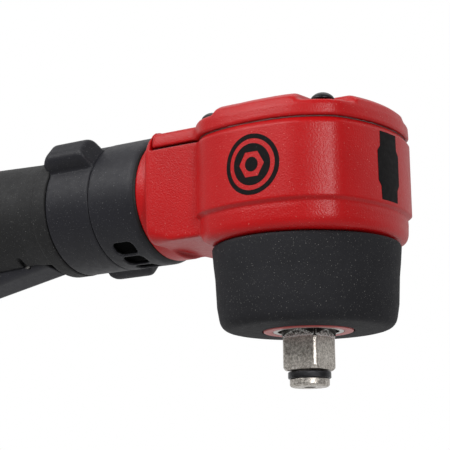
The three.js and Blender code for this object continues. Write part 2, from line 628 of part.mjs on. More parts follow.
const inletBushing = () => {
  const thread = turned(rod(9.1, -223, -200), FINE);
  const hexHead = hexagon(11, INLET_X, -222.9).intersect(turned([
    [0, INLET_X], [9.6, INLET_X], [11, INLET_X + 1.2], [11, -222.9], [0, -222.9],
  ], FINE));
  return onMotorAxis(cut(thread.add(hexHead), turned(rod(INLET_BORE_R, INLET_X - 1, -199), FINE)));
};
const inletScreen = () => {
  const hole = turned(rod(0.9, -200, -198), 6);
  const places = Array.from({ length: 6 }, (_, i) => i * Math.PI / 3)
    .map((angle) => [3 * Math.cos(angle), 3 * Math.sin(angle), 0]);
  return onMotorAxis(cut(turned(rod(9.1, -199.7, -198.9), FINE), hole,
    ...places.map((p) => hole.translate(p))));
};
add('inlet_bushing', inletBushing(), STEEL);
add('inlet_screen', inletScreen(), BRASS);

// ---- throttle ------------------------------------------------------------------------
// A channel whose crowned underside falls towards the rear; its two cheeks hold the pin.
const throttleLever = () => {
  const { nose, rear, halfWidth, web } = LEVER;
  const bottom = (x) => LEVER_NOSE_Z - (nose - x) * LEVER_SLOPE;
  const side = prismAlongY([
    [nose, LEVER_NOSE_Z], [nose - 0.1, LEVER_NOSE_Z + 0.6], [-104.6, 51], [-108, 53.1], [-116, 53.1],
    [-123, 51.2], [-160, 42.2], [rear + 2, bottom(rear) + 3.6], [rear, bottom(rear) + 2],
    [rear + 1, bottom(rear)],
  ], -halfWidth, halfWidth);
  const slope = THREE.MathUtils.radToDeg(Math.atan(LEVER_SLOPE));
  const belowCrown = prismAlongX([
    [0, 0], [-7, 2.5], [-halfWidth, 4.2], [-12, 4.2], [-12, -6], [12, -6], [12, 4.2],
    [halfWidth, 4.2], [7, 2.5],
  ], -120, 10).rotate([0, -slope, 0]).translate([nose, 0, LEVER_NOSE_Z]);
  const channel = prismAlongY([
    [-106.8, 60], [-106.8, bottom(-106.8) + web], [rear + 26, bottom(rear + 26) + web], [rear + 26, 60],
  ], -LUG_HALF - GAP, LUG_HALF + GAP);
  return cut(side, belowCrown, channel, leverPinHole());
};

const valveSpring = () => {
  const { springFloor, springTop } = VALVE;
  const coils = 4;
  class Helix extends THREE.Curve {
    getPoint(t, target = new THREE.Vector3()) {
      const angle = t * coils * 2 * Math.PI;
      const height = springFloor + 0.6 + t * (springTop - springFloor - 1.2);
      return target.set(3.6 * Math.cos(angle), 3.6 * Math.sin(angle), height);
    }
  }
  const wire = new THREE.Shape();
  wire.absarc(0, 0, 0.5, 0, 2 * Math.PI);
  return toSolid(new THREE.ExtrudeGeometry(wire, {
    steps: coils * 10, curveSegments: 3, extrudePath: new Helix(),
  })).translate([VALVE_X, 0, 0]);
};

add('throttle_lever', throttleLever(), COMPOSITE);
add('lever_pin', turned(rod(LEVER_PIN_R, -LEVER.halfWidth, LEVER.halfWidth), COARSE).rotate([90, 0, 0])
  .translate([LEVER.pivotX, 0, LEVER.pivotZ]), STEEL);
add('throttle_valve', turned([
  [0, VALVE.bottom], [1.8, VALVE.bottom], [2.3, VALVE.bottom + 0.6], [2.3, VALVE.seat + 0.1],
  [4.9, VALVE.seat + 0.1], [4.9, VALVE.springFloor - 0.1], [0, VALVE.springFloor - 0.1],
], COARSE).translate([VALVE_X, 0, 0]), BRASS);
add('valve_bushing', cut(
  turned(tube(BUSHING.inner, BUSHING.outer, BUSHING.low, VALVE.seat), COARSE).translate([VALVE_X, 0, 0]),
  turned(rod(2.6, 0, 10), TINY).rotate([0, 90, 0]).translate([VALVE_X + 1, 0, 55]),
), BRASS);
add('valve_spring', valveSpring(), STEEL);

export default wrench;
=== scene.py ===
"""Looks of the angle-head pneumatic impact wrench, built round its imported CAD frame.

Shapes are worked out in millimetres and turned into metres when a mesh is made.
Castings and mouldings come from distance fields, turned parts from profiles.
"""
import json
import math

import bpy
import numpy as np
from mathutils import Matrix


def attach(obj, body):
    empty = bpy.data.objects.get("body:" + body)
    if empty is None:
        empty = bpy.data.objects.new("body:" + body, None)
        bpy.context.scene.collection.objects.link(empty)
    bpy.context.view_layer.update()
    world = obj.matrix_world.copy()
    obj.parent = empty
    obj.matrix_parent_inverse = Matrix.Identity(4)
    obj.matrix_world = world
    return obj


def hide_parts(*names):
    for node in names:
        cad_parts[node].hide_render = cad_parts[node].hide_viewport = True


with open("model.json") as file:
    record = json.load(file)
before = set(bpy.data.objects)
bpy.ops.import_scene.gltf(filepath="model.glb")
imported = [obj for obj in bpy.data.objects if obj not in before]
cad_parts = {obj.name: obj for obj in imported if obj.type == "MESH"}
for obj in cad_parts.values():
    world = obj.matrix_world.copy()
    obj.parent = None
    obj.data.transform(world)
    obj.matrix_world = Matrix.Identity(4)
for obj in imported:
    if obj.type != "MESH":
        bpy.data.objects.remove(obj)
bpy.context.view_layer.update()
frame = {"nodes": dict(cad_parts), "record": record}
nodes = frame["nodes"]

MM = 0.001

# ---- sizes shared with the CAD, in millimetres --------------------------------------------------
AXIS_Z = 67.5
SKIRT_Z, SEAM_Z, COVER_LOW_Z, COVER_Z = 45.0, 79.5, 79.9, 88.4
NECK_REAR_X, COVER_REAR_X = -48.5, -45.6
SCREW_SEAT = 85.6
SCREW_PLACES = ((20.2, -20.9), (20.2, 20.9), (-21.3, 20.9), (-21.3, -20.9))
FRONT_SCREW_LIFT, REAR_SCREW_LIFT = -0.1, 0.25
RING_A = (-73.0, -53.4, 21.9)
RING_B = (-92.0, -73.3, 21.8)
EXHAUST_ANGLES = (144, 162, 180, 198, 216)
EXHAUST_X = -64.0
TAB_ANGLES = (47, 227)
SLEEVE_REAR_X = -218.0
LEVER_NOSE = (-101.3, 46.8)
LEVER_REAR_X = -204.0
LEVER_SLOPE = 0.177


# ---- distance fields ----------------------------------------------------------------------------
def most(a, b, k=0.0):
    """The larger of two fields, with the corner between them rounded over about k."""
    if np.isscalar(k) and not k:
        return np.maximum(a, b)
    h = np.maximum(k - np.abs(a - b), 0) / k
    return np.maximum(a, b) + h * h * k / 4


def least(a, b, k=0.0):
    return -most(-a, -b, k)


def every(fields, k=0.0):
    """What lies inside all the fields."""
    out = fields[0]
    for f in fields[1:]:
        out = most(out, f, k)
    return out


def soft_curve(points, width):
    """A polyline through the points, with its corners softened over width."""
    px, py = np.array(points, float).T
    fine = np.arange(px[0] - 4 * width - 1, px[-1] + 4 * width + 1, min(0.1, width / 5))
    values = np.interp(fine, px, py)
    reach = max(1, int(round(width / (fine[1] - fine[0]) / 2)))
    kernel = np.hanning(2 * reach + 3)[1:-1]
    smooth = np.convolve(np.pad(values, reach, mode="edge"), kernel / kernel.sum(), mode="valid")
    return lambda t: np.interp(t, fine, smooth)


def levels(low, high, step, *dense):
    """Grid positions from low to high, with a finer step inside each (from, to, step)."""
    out, at = [low], low
    while at < high:
        near = [d for d in dense if d[0] - step < at < d[1]]
        at += min([d[2] for d in near] + [step])
        out.append(at)
    return np.array(out)


def surface(field, xs, ys, zs, polish=3):
    """Vertices and quads of the field's zero surface, by surface nets on a grid."""
    axes = [np.asarray(a, float) for a in (xs, ys, zs)]
    value = field(*np.meshgrid(*axes, indexing="ij", sparse=False))
    inside = value < 0
    cells = tuple(n - 1 for n in value.shape)
    total = cells[0] * cells[1] * cells[2]
    count = np.zeros(total)
    sums = [np.zeros(total) for _ in range(3)]
    quads = []
    for axis in range(3):
        low = [slice(None)] * 3
        high = [slice(None)] * 3
        low[axis], high[axis] = slice(None, -1), slice(1, None)
        crossing = inside[tuple(low)] != inside[tuple(high)]
        at = np.array(np.nonzero(crossing))
        v0, v1 = value[tuple(low)][crossing], value[tuple(high)][crossing]
        t = v0 / (v0 - v1)
        place = [axes[a][at[a]] for a in range(3)]
        place[axis] = place[axis] + t * (axes[axis][at[axis] + 1] - axes[axis][at[axis]])
        b, c = (axis + 1) % 3, (axis + 2) % 3
        corner_ids = []
        fits = np.ones(at.shape[1], bool)
        for db, dc in ((1, 1), (0, 1), (0, 0), (1, 0)):
            cell = at.copy()
            cell[b] -= db
            cell[c] -= dc
            fit = np.all([(cell[a] >= 0) & (cell[a] < cells[a]) for a in range(3)], axis=0)
            ids = np.ravel_multi_index([np.clip(cell[a], 0, cells[a] - 1) for a in range(3)], cells)
            count += np.bincount(ids[fit], minlength=total)
            for a in range(3):
                sums[a] += np.bincount(ids[fit], weights=place[a][fit], minlength=total)
            corner_ids.append(ids)
            fits &= fit
        face = np.array(corner_ids).T[fits]
        flip = v0[fits] > 0
        face[flip] = face[flip][:, ::-1]
        quads.append(face)
    used = np.nonzero(count)[0]
    index = np.full(total, -1)
    index[used] = np.arange(len(used))
    points = np.array([s[used] / count[used] for s in sums]).T
    for _ in range(polish):
        here = field(*points.T)
        slope = gradient(field, points)
        step = (here / np.maximum((slope**2).sum(1), 0.1))[:, None] * slope
        points = points - np.clip(step, -0.4, 0.4)
    return points, index[np.concatenate(quads)]


def gradient(field, points, eps=0.02):
    out = np.empty_like(points)
    for a in range(3):
        shift = np.zeros(3)
        shift[a] = eps
        out[:, a] = (field(*(points + shift).T) - field(*(points - shift).T)) / (2 * eps)
    return out


def turn_about_x(y, z, degrees):
    """Coordinates in a frame turned about the motor axis: across, and up from the axis."""
    a = math.radians(degrees)
    up = z - AXIS_Z
    return y * math.cos(a) + up * math.sin(a), -y * math.sin(a) + up * math.cos(a)


# ---- meshes -------------------------------------------------------------------------------------
def mesh_piece(name, points, faces, body, material, slot, replaced=(), smooth=True):
    data = bpy.data.meshes.new(name)
    data.from_pydata((np.asarray(points) * MM).tolist(), [], [list(map(int, f)) for f in faces])
    data.validate()
    data.update()
    data.polygons.foreach_set("use_smooth", [smooth] * len(data.polygons))
    data.materials.append(material)
    piece = bpy.data.objects.new(name, data)
    bpy.context.scene.collection.objects.link(piece)
    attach(piece, body)
    if replaced:
        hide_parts(*replaced)
    return piece


def rounded(corners, steps=5):
    """A closed outline from (a, b, radius) corners, each rounded by its radius."""
    out = []
    count = len(corners)
    for i, (a, b, radius) in enumerate(corners):
        here = np.array([a, b], float)
        before = np.array(corners[i - 1][:2], float) - here
        after = np.array(corners[(i + 1) % count][:2], float) - here
        if radius <= 0:
            out.append(here)
            continue
        lb, la = np.linalg.norm(before), np.linalg.norm(after)
        before, after = before / lb, after / la
        half = math.acos(np.clip(before @ after, -1, 1)) / 2
        reach = min(radius / math.tan(half), 0.49 * lb, 0.49 * la)
        start, end = here + before * reach, here + after * reach
        for s in range(steps + 1):
            t = s / steps
            out.append((1 - t) ** 2 * start + 2 * t * (1 - t) * here + t * t * end)
    return np.array(out)


def turned(outline, sides=160, along_x=False):
    """Points and quads of a closed outline of (radius, height) turned a full circle."""
    angles = np.arange(sides) * 2 * math.pi / sides
    r, h = outline.T
    area = (r * np.roll(h, -1) - np.roll(r, -1) * h).sum()
    if area < 0:
        r, h = r[::-1], h[::-1]
    c, s = np.cos(angles)[:, None], np.sin(angles)[:, None]
    height = np.broadcast_to(h, (sides, len(h)))
    if along_x:
        points = np.stack([height, -s * r, AXIS_Z + c * r], -1)
    else:
        points = np.stack([c * r, s * r, height], -1)
    n = len(r)
    i, j = np.meshgrid(np.arange(sides), np.arange(n), indexing="ij")
    i2, j2 = (i + 1) % sides, (j + 1) % n
    quads = np.stack([i * n + j, i2 * n + j, i2 * n + j2, i * n + j2], -1).reshape(-1, 4)
    if along_x:
        quads = quads[:, ::-1]
    return points.reshape(-1, 3), quads


# ---- materials ----------------------------------------------------------------------------------
def new_material(name):
    material = bpy.data.materials.new(name)
    material.use_nodes = True
    tree = material.node_tree
    return material, tree, tree.nodes["Principled BSDF"]


def linear(*srgb):
    return tuple((v / 255 / 12.92 if v <= 10 else ((v / 255 + 0.055) / 1.055) ** 2.4) for v in srgb) + (1,)


def node(tree, kind, **settings):
    made = tree.nodes.new(kind)
    for key, value in settings.items():
        if key in made.inputs:
            made.inputs[key].default_value = value
        else:
            setattr(made, key, value)
    return made


def noise(tree, scale, detail=3.0, rough=0.5):
    place = tree.nodes.get("Place") or node(tree, "ShaderNodeTexCoord", name="Place")
    made = node(tree, "ShaderNodeTexNoise", Scale=scale, Detail=detail, Roughness=rough)
    tree.links.new(place.outputs["Object"], made.inputs["Vector"])
    return made.outputs["Fac"]


def ramp(tree, factor, stops):
    made = node(tree, "ShaderNodeValToRGB")
    elements = made.color_ramp.elements
    while len(elements) < len(stops):
        elements.new(0.5)
    for element, (at, colour) in zip(elements, stops):
        element.position = at
        element.color = colour if len(colour) == 4 else tuple(colour) * 3 + (1,)
    tree.links.new(factor, made.inputs["Fac"])
    return made.outputs["Color"]


def bump(tree, height, distance, strength=1.0, below=None):
    made = node(tree, "ShaderNodeBump", Distance=distance)
    if isinstance(strength, bpy.types.NodeSocket):
        tree.links.new(strength, made.inputs["Strength"])
    else:
        made.inputs["Strength"].default_value = strength
    tree.links.new(height, made.inputs["Height"])
    if below is not None:
        tree.links.new(below, made.inputs["Normal"])
    return made.outputs["Normal"]


def mixed(tree, factor, a, b):
    made = node(tree, "ShaderNodeMix", data_type="RGBA")
    for socket, value in ((made.inputs[0], factor), (made.inputs[6], a), (made.inputs[7], b)):
        if isinstance(value, bpy.types.NodeSocket):
            tree.links.new(value, socket)
        else:
            socket.default_value = value
    return made.outputs[2]


def maths(tree, operation, *values):
    made = node(tree, "ShaderNodeMath", operation=operation)
    for socket, value in zip(made.inputs, values):
        if isinstance(value, bpy.types.NodeSocket):
            tree.links.new(value, socket)
        else:
            socket.default_value = value
    return made.outputs[0]


def axes_of(tree):
    """The place on the piece, as three separate values in metres."""
    split = node(tree, "ShaderNodeSeparateXYZ")
    tree.links.new(tree.nodes["Place"].outputs["Object"], split.inputs[0])
    return split.outputs


def squares(tree, a, b):
    return maths(tree, "ADD", maths(tree, "MULTIPLY", a, a), maths(tree, "MULTIPLY", b, b))


def paint_material(name, dark, light):
    material, tree, shader = new_material(name)
    tone = ramp(tree, noise(tree, 60, 2), [(0.35, dark), (0.65, light)])
    specks = ramp(tree, noise(tree, 2800, 1, 0.3), [(0.745, (0.0,)), (0.8, (1.0,))])
    tree.links.new(mixed(tree, specks, tone, linear(224, 130, 122)), shader.inputs["Base Color"])
    peel = bump(tree, noise(tree, 2000, 1, 0.4), 0.00014, 0.6)
    tree.links.new(peel, shader.inputs["Normal"])
    rough = ramp(tree, noise(tree, 700), [(0.3, (0.32,)), (0.7, (0.4,))])
    tree.links.new(rough, shader.inputs["Roughness"])
    shader.inputs["Specular IOR Level"].default_value = 0.34
    return material


def speckled(name, base, fleck, roughness, grain=0.00006, scale=2600, shine=0.35, painted_shade_r=None):
    """Black moulded plastic or rubber: fine grain, a few pale flecks, and painted shade (near black) nearer
    the motor axis than the given radius.
    """
    material, tree, shader = new_material(name)
    cloud = ramp(tree, noise(tree, 90, 2), [(0.3, base), (0.7, tuple(c * 1.18 for c in base[:3]) + (1,))])
    flecks = ramp(tree, noise(tree, 3200, 1, 0.3), [(0.70, (0.0,)), (0.78, (1.0,))])
    tone = mixed(tree, flecks, cloud, fleck)
    # painted shade: near black inside the given radius from the motor axis, over the vent slots' walls and
    # the bore
    if painted_shade_r:
        _, y, z = axes_of(tree)
        up = maths(tree, "SUBTRACT", z, AXIS_Z * MM)
        radius = maths(tree, "SQRT", squares(tree, y, up))
        tone = mixed(tree, maths(tree, "LESS_THAN", radius, painted_shade_r * MM), tone, (0.002, 0.002, 0.002, 1))
    tree.links.new(tone, shader.inputs["Base Color"])
    tree.links.new(bump(tree, noise(tree, scale, 3, 0.6), grain, 0.8), shader.inputs["Normal"])
    rough = ramp(tree, noise(tree, 500), [(0.3, (roughness - 0.06,)), (0.7, (roughness + 0.06,))])
    tree.links.new(rough, shader.inputs["Roughness"])
    shader.inputs["Specular IOR Level"].default_value = shine
    return material


def metal(name, light, dark, roughness, scale=300, scratches=0.00002, metallic=1.0):
    material, tree, shader = new_material(name)
    tone = ramp(tree, noise(tree, scale, 4, 0.65), [(0.3, dark), (0.7, light)])
    tree.links.new(tone, shader.inputs["Base Color"])
    shader.inputs["Metallic"].default_value = metallic
    rough = ramp(tree, noise(tree, scale * 2.5), [(0.25, (roughness - 0.08,)), (0.75, (roughness + 0.1,))])
    tree.links.new(rough, shader.inputs["Roughness"])
    tree.links.new(bump(tree, noise(tree, scale * 9, 4, 0.7), scratches, 0.7), shader.inputs["Normal"])
    return material


# heights and half width of the drive's finishes, its painted highlight line and its painted shade, in metres
RUN_OUT_Z, RUN_OUT_LINE_Z, SHANK_LOW_Z, FLAT_AT = 0.0163, 0.0164, 0.0154, 0.00635
HOLE_R_SQUARED, HOLE_TOP_Z = 0.0000035, 0.008


def anvil_material():
    """Ground steel flats, rough bright run-outs above them with a painted highlight line along their base,
    and painted shade on the round shank and in the centre bore.
    """
    material, tree, shader = new_material("anvil_steel")
    mottle = ramp(tree, noise(tree, 1300, 4, 0.65),
                  [(0.32, linear(150, 142, 132)), (0.66, linear(240, 234, 226))])
    streaks = ramp(tree, noise(tree, 1600, 2, 0.7),
                   [(0.44, linear(104, 100, 96)), (0.54, linear(255, 254, 250))])
    x, y, z = axes_of(tree)
    wavy = maths(tree, "ADD", z, maths(tree, "MULTIPLY", noise(tree, 500), 0.0012))
    run_out = maths(tree, "GREATER_THAN", wavy, RUN_OUT_Z)
    widest = maths(tree, "MAXIMUM", maths(tree, "ABSOLUTE", x), maths(tree, "ABSOLUTE", y))
    off_flat = maths(tree, "ABSOLUTE", maths(tree, "SUBTRACT", widest, FLAT_AT))
    # painted shade: the round shank above the flats, which lies in shadow inside the bushing, is coloured
    # dark
    shank_shade = maths(tree, "MULTIPLY", maths(tree, "GREATER_THAN", off_flat, 0.00004),
                       maths(tree, "GREATER_THAN", z, SHANK_LOW_Z))
    # painted shade: the centre bore is coloured dark
    bore = maths(tree, "MULTIPLY", maths(tree, "LESS_THAN", squares(tree, x, y), HOLE_R_SQUARED),
                 maths(tree, "LESS_THAN", z, HOLE_TOP_Z))
    dark = maths(tree, "MAXIMUM", shank_shade, bore)
    # painted highlight: a near-white wavy line along the base of the run-outs
    painted_highlight_line = maths(tree, "COMPARE", wavy, RUN_OUT_LINE_Z, 0.0002)
    tone = mixed(tree, painted_highlight_line, mixed(tree, run_out, mottle, streaks), (1, 1, 0.98, 1))
    # the dark colour here is painted shade over the shank and the bore
    tree.links.new(mixed(tree, dark, tone, linear(52, 50, 48)), shader.inputs["Base Color"])
    shader.inputs["Metallic"].default_value = 1.0
    rough = ramp(tree, noise(tree, 3000), [(0.25, (0.22,)), (0.75, (0.42,))])
    tree.links.new(rough, shader.inputs["Roughness"])
    fine = bump(tree, noise(tree, 7000, 4, 0.7), 0.00006, 0.7)
    tree.links.new(bump(tree, noise(tree, 2200, 3, 0.7), 0.0002, maths(tree, "MULTIPLY", run_out, 0.8), fine),
                   shader.inputs["Normal"])
    return material


PAINT = paint_material("red_paint", linear(182, 5, 10), linear(188, 7, 12))
# a lightened pink copy of the red paint for the down-facing nose ring: its extra lightness is painted
# reflection of the bright space below
NOSE_PAINT_WITH_REFLECTION = paint_material("nose_paint_painted_reflection", linear(188, 78, 78), linear(200, 90, 88))
BOOT = speckled("boot_rubber", linear(36, 36, 39), linear(118, 117, 114), 0.7, shine=0.15)
GRIP = speckled("grip_rubber", linear(25, 25, 26), linear(112, 112, 110), 0.62, grain=0.0001)
COMPOSITE = speckled("composite", linear(26, 26, 32), linear(104, 104, 106), 0.5, grain=0.00003)
# the exhaust ring's composite, with painted shade in its slots and bore
VENTED_SHADED = speckled("vented_composite_painted_shade", linear(26, 26, 32), linear(104, 104, 106), 0.5,
                  grain=0.00003, painted_shade_r=21.3)
LEVER_MAT = speckled("lever_composite", linear(36, 36, 42), linear(96, 96, 96), 0.42,
                     grain=0.00004, shine=0.4)
DECAL = speckled("decal_black", linear(12, 10, 11), linear(52, 50, 50), 0.6, grain=0.00002, shine=0.12)
ANVIL_STEEL = anvil_material()
RETAINER = metal("retainer_steel", linear(70, 70, 72), linear(16, 16, 18), 0.16, 220, 0.00025, 0.9)
BEARING = metal("bearing_steel", linear(196, 194, 190), linear(160, 158, 154), 0.28)
FORGED = metal("forged_steel", linear(104, 100, 96), linear(70, 67, 64), 0.45, 250, 0.00005)
ALUMINIUM = metal("bare_aluminium", linear(196, 198, 200), linear(168, 170, 172), 0.4)
BRASS = metal("brass", linear(196, 160, 92), linear(160, 124, 64), 0.33)
OXIDE = metal("black_oxide", linear(44, 44, 47), linear(26, 26, 28), 0.33, 500, 0.00002, 0.6)
FELT = speckled("muffler_felt", linear(8, 8, 8), linear(24, 24, 24), 0.9, grain=0.0001, shine=0.05)
SEAL = speckled("seal_rubber", linear(26, 26, 27), linear(60, 60, 60), 0.4, grain=0.00002)
PAPER = speckled("gasket_paper", linear(122, 102, 102), linear(150, 130, 126), 0.85, grain=0.00005)
BY_SLOT = {
    "red_paint": PAINT, "gasket": PAPER, "black_oxide": OXIDE, "boot_rubber": BOOT, "grip_rubber": GRIP,
    "composite": COMPOSITE, "anvil_steel": ANVIL_STEEL, "bearing_steel": BEARING, "forged_steel": FORGED,
    "bare_aluminium": ALUMINIUM, "brass": BRASS, "seal_rubber": SEAL,
}

# every CAD node that stays takes its slot's finish
for row in frame["record"]["subparts"]:
    if row.get("node") in nodes:
        for place in nodes[row["node"]].material_slots:
            place.material = BY_SLOT[row["material_slot"]]
for place in nodes["exhaust_muffler"].material_slots:
    place.material = FELT


# ---- head and neck ------------------------------------------------------------------------------
SQ = math.sqrt(0.5)


def plan(x, y):
    """The head seen from above, at its widest: bulging sides and nose, cut corners."""
    y = np.abs(y)
    side = np.hypot(x + 0.1, y + 22.2) - 55.3
    corner = (x + y) * SQ - 35.4
    nose = np.hypot(x + 22.44, y) - 54.24
    rear_corner = -0.73 * x + 0.684 * y - 35.76
    out = most(side, corner, 4.5)
    out = most(out, nose, 1.2)
    out = most(out, rear_corner, 2.0)
    return most(out, -28 - x, 2.0)


BODY_INSET = soft_curve([
    (44.0, 1.8), (52.0, 1.5), (53.6, 1.6), (54.6, 0.3), (77.8, 0.45), (79.5, 1.7),
], 0.6)
COVER_INSET = soft_curve([(79.5, 0.9), (83.6, 1.2), (86.2, 2.3), (88.6, 5.4)], 1.2)


def cover_inset(x, z):
    """The cover's shoulder is tighter over the nose and the rear than over the sides."""
    nose, rear = np.clip((x - 4) / 20, 0, 1), np.clip((-x - 6) / 16, 0, 1)
    return COVER_INSET(z) * (1 - 0.35 * nose - 0.7 * rear)


def neck(x, y, z):
    """Nearly flat sides and underside; the lower corner gets rounder towards the rear."""
    side = np.abs(y) - 22.6 + 0.0005 * (z - 73) ** 2
    upper = most(side, z - 87.3, 6.5)
    roundness = 1.2 + 5.0 * np.clip((-38 - x) / 10, 0, 1)
    return most(upper, 48.4 - z, roundness)


def cylinder_x(x, y, z, r, low, high, k=0.0):
    return every([np.hypot(y, z - AXIS_Z) - r, low - x, x - high], k)


def screw_room(x, y, z):
    """Round holes for the four screws' shanks."""
    holes = [np.hypot(x - sx, y - sy) - 2.1 for sx, sy in SCREW_PLACES]
    return most(np.minimum.reduce(holes), 73 - z)


def housing_field(x, y, z):
    body = every([plan(x, y) + BODY_INSET(z), SKIRT_Z - z], 4.2)
    body = most(body, z - SEAM_Z, 0.3)
    lip_round = 2.0 + 3.5 * np.clip((z - 79) / 5, 0, 1)
    rear_lip = most(neck(x, y, z), NECK_REAR_X - x, lip_round)
    lower = np.minimum(most(rear_lip, z - SEAM_Z + 0.2, 0.3),
                       most(rear_lip, x - COVER_REAR_X + 0.4, 0.3))
    lower = most(lower, x + 20)
    out = least(body, lower, 1.0)
    out = least(out, cylinder_x(x, y, z, 21, -53.4, -47, 0.6), 0.8)
    out = np.minimum(out, cylinder_x(x, y, z, 19, -74.1, -50, 0.4))
    hollow = every([np.hypot(x, y) - 26.6, z - 52.6])
    hollow = np.minimum(hollow, np.hypot(x, y) - 22)
    hollow = np.minimum(hollow, cylinder_x(x, y, z, 14.1, -45.4, -12))
    hollow = np.minimum(hollow, cylinder_x(x, y, z, 11.1, -53, -45))
    hollow = np.minimum(hollow, cylinder_x(x, y, z, 17.72, -75, -52.2))
    hollow = np.minimum(hollow, screw_room(x, y, z))
    return most(out, -hollow, 0.4)


POCKET_FLOOR = 85.1


def pocket(x, y, z):
    """The dip round each screw, open to the outside, with sloping walls."""
    ax, ay = x, np.abs(y)
    rise = (z - POCKET_FLOOR) * 0.55
    front = most(15.8 - ax - rise, 14.9 - ay - rise * 0.6, 5)
    rear = most(ax + 15.6 - rise, 13.9 - ay - rise, 5)
    return most(np.minimum(front, rear), POCKET_FLOOR - z, 1.4)


def cover_field(x, y, z):
    body = every([plan(x, y) + cover_inset(x, z), z - COVER_Z + 0.0004 * (x * x + y * y)], 2.5)
    upper = most(neck(x, y, z), COVER_REAR_X - x, 2.0)
    upper = every([upper, x + 20, COVER_LOW_Z + 0.2 - z])
    out = least(body, upper, 1.2)
    out = most(out, COVER_LOW_Z - z, 0.9)
    out = most(out, -pocket(x, y, z), 1.3)
    hollow = every([np.hypot(x, y) - 18.5, z - 81.4])
    hollow = np.minimum(hollow, every([np.hypot(x, y) - 9.62, z - 84]))
    hollow = np.minimum(hollow, cylinder_x(x, y, z, 14.1, -45.4, -12))
    hollow = np.minimum(hollow, screw_room(x, y, z))
    return most(out, -hollow, 0.3)


def gasket_field(x, y, z):
    sheet = np.minimum(plan(x, y) + 1.45, every([np.abs(y) - 21.4, COVER_REAR_X + 0.2 - x, x + 20]))
    hollow = np.minimum(np.hypot(x, y) - 22, cylinder_x(x, y, z, 14.1, -45.4, -12))
    hollow = np.minimum(hollow, screw_room(x, y, z))
    return every([sheet, SEAM_Z + 0.02 - z, z - COVER_LOW_Z + 0.16, -hollow])


step = 0.6
xs = levels(-74.5, 33.5, step)
ys = levels(-34.5, 34.5, step)
mesh_piece(
    "head_casting",
    *surface(housing_field, xs, ys, levels(42.3, 87.5, step, (52.4, 54.8, 0.3), (77.6, 80, 0.4))),
    "housing", PAINT, "red_paint", ["head_housing"],
)
mesh_piece(
    "cover_casting",
    *surface(cover_field, levels(-46.6, 33.5, 0.5), levels(-34.5, 34.5, 0.5), levels(79.2, 89.2, 0.4)),
    "housing", PAINT, "red_paint", ["head_cover"],
)
mesh_piece(
    "gasket_sheet",
    *surface(gasket_field, levels(-46.6, 33.5, 0.7), levels(-34.5, 34.5, 0.7), levels(79.2, 80.2, 0.12)),
    "housing", PAPER, "gasket", ["cover_gasket"],
)


# ---- badge and nose decal: thin films that follow the painted faces -----------------------------
def solved(inside, far, steps=40):
    """Where a field that grows outwards passes zero, between 0 and far."""
    low, high = np.zeros_like(far), far
    for _ in range(steps):
        middle = (low + high) / 2
        out = inside(middle) > 0
        high, low = np.where(out, middle, high), np.where(out, low, middle)
    return (low + high) / 2


def side_face(x, z):
    """A point on the near side of the head."""
    y = solved(lambda t: plan(x, t) + BODY_INSET(z), np.full(np.shape(x), 40.0))
    return np.stack([x, -y, z], -1)


def nose_face(y, z):
    x = solved(lambda t: plan(t, y) + BODY_INSET(z), np.full(np.shape(y), 40.0))
    return np.stack([x, y, z], -1)


def film(name, first, second, place, body="housing", closed=False, lift=0.07, sink=0.12):
    """A thin sheet over a grid of (first, second), with its top lifted off the face."""
    base = place(first, second)
    along_a = place(first + 0.05, second) - base
    along_b = place(first, second + 0.05) - base
    out = np.cross(along_a, along_b)
    out /= np.linalg.norm(out, axis=-1, keepdims=True)
    centre = np.array([0.0, 0.0, 66.0])
    out *= np.sign(((base - centre) * out).sum(-1, keepdims=True))
    top, under = base + out * lift, base - out * sink
    rows, cols = first.shape
    count = rows * cols
    points = np.concatenate([top.reshape(-1, 3), under.reshape(-1, 3)])
    faces = []
    last = cols if closed else cols - 1
    for i in range(rows - 1):
        for j in range(last):
            a, b = i * cols + j, i * cols + (j + 1) % cols
            quad = [a, b, b + cols, a + cols]
            faces += [quad, [count + q for q in quad[::-1]]]
    for row in (0, rows - 1):
        for j in range(last):
            a, b = row * cols + j, row * cols + (j + 1) % cols
            wall = [b, a, count + a, count + b]
            faces.append(wall if row == 0 else wall[::-1])
    if not closed:
        for col in (0, cols - 1):
            for i in range(rows - 1):
                a, b = i * cols + col, (i + 1) * cols + col
                wall = [a, b, count + b, count + a]
                faces.append(wall if col == 0 else wall[::-1])
    return mesh_piece(name, points, faces, body, DECAL, "black_oxide", smooth=False)


BADGE_X, BADGE_Z = 1.3, 66.0
around = np.linspace(0, 2 * math.pi, 145)[:-1]
flat_angle = np.mod(around, math.pi / 3) - math.pi / 6
hexagon = 1 / np.cos(flat_angle)
BADGE_BANDS = (("badge_rim", 8.1, 9.6), ("badge_nut", 3.9 * hexagon, 6.6), ("badge_centre", 0.05, 2.3))
for name, inner, outer in BADGE_BANDS:
    share = np.linspace(0, 1, 7)[:, None]
    radius = inner * (1 - share) + outer * share + 0 * around
    film(name, BADGE_X + radius * np.cos(around), BADGE_Z + radius * np.sin(around), side_face, closed=True)

decal_z = np.linspace(55.6, 77.4, 60)
decal_half = np.interp(decal_z, [55.6, 59.8, 61.4, 71.0, 72.6, 77.4], [4.7, 4.9, 6.2, 6.3, 4.9, 4.8])
across = np.linspace(-1, 1, 15)
film("nose_decal", np.outer(decal_half, across) - 0.5, np.repeat(decal_z[:, None], 15, 1), nose_face)


